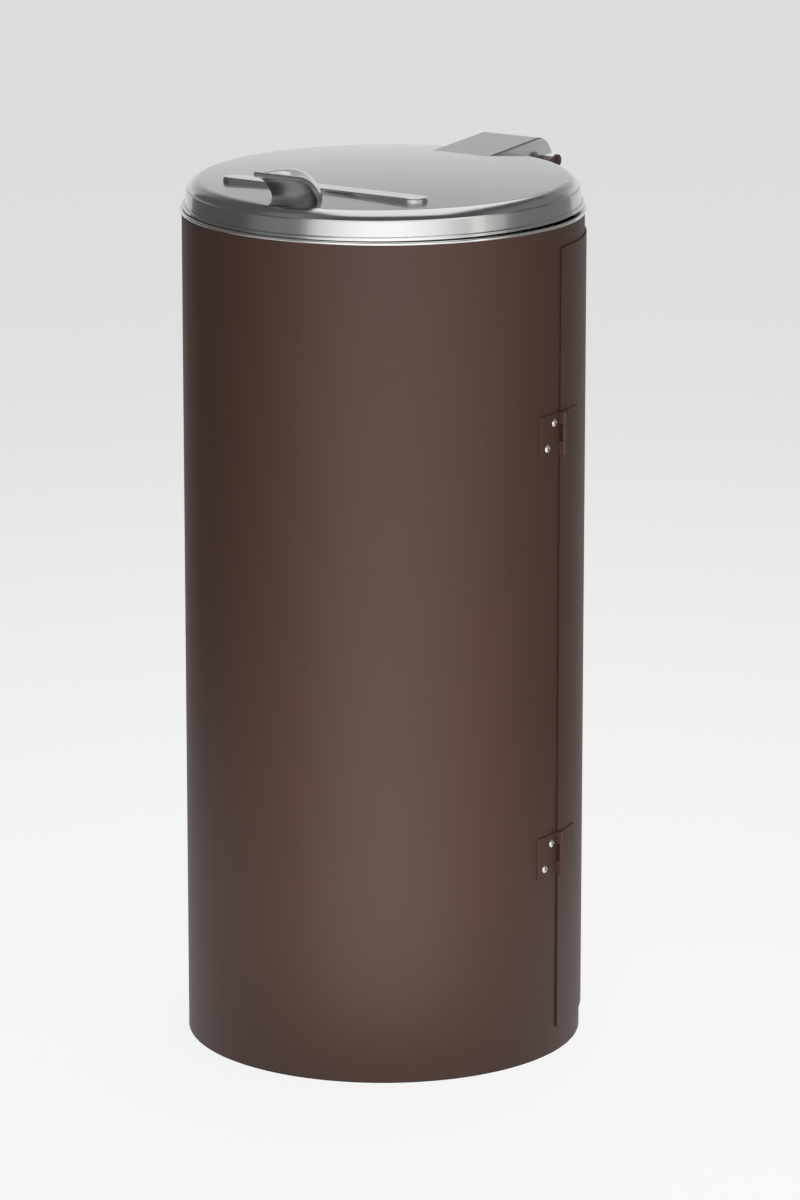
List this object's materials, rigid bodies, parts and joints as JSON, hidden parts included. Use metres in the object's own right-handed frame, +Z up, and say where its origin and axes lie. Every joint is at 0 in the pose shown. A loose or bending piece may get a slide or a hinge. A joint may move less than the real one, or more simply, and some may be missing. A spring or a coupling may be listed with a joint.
{
  "type": "lidded sack bin",
  "caption": "Tall round steel bin with a hinged moulded lid, a scoop grip, a curved rear door on riveted hinges and a loose ring that clamps a refuse sack in the mouth.",
  "frame": {"origin": "on the floor, at the middle of the floor pan's underside, on the body's axis", "axes": "+Z up along the body's axis, the lid's grip at -Y, the lid's hinge at +Y and the door's hinge at +X"},
  "size_m": [0.4205, 0.4612, 0.9079],
  "materials": {
    "brown_coat": "satin powder coat, dark brown",
    "dark_coat": "satin powder coat, near black",
    "bright_steel": "bright zinc plate",
    "silver_plastic": "moulded, silver pigment, satin top and glossy skirt",
    "rivet_aluminium": "bright",
    "mandrel_steel": "snapped plain steel",
    "grey_nylon": "moulded, matt",
    "black_plastic": "moulded, matt",
    "magnet": "ground ferrite"
  },
  "bodies": {
    "housing": {"body_shell": "brown_coat", "floor_pan": "dark_coat", "sack_ring": "bright_steel", "lid_bracket": "brown_coat", "lid_bracket_rivets": "rivet_aluminium", "lid_pin": "brown_coat", "left_pin_spacer": "grey_nylon", "right_pin_spacer": "grey_nylon", "body_leaf_rivets": "rivet_aluminium", "catch_rivets": "rivet_aluminium", "body_leaf_mandrels": "mandrel_steel", "lid_bracket_mandrels": "mandrel_steel", "catch_mandrels": "mandrel_steel", "upper_hinge_body_leaf": "brown_coat", "upper_hinge_pin": "brown_coat", "lower_hinge_body_leaf": "brown_coat", "lower_hinge_pin": "brown_coat", "upper_catch_body": "black_plastic", "upper_catch_magnet": "magnet", "lower_catch_body": "black_plastic", "lower_catch_magnet": "magnet"},
    "lid": {"lid": "silver_plastic"},
    "door": {"door_panel": "brown_coat", "upper_hinge_door_leaf": "brown_coat", "lower_hinge_door_leaf": "brown_coat"}
  },
  "joints": [
    {"name": "lid_hinge", "type": "hinge", "parent": "housing", "child": "lid", "pos_m": [0, 0.245, 0.86301], "axis": [-1, 0, 0], "range_deg": [0, 100]},
    {"name": "door_hinge", "type": "hinge", "parent": "housing", "child": "door", "pos_m": [0.20444, 0.01519, 0.4245], "axis": [0, 0, -1], "range_deg": [0, 120]}
  ]
}
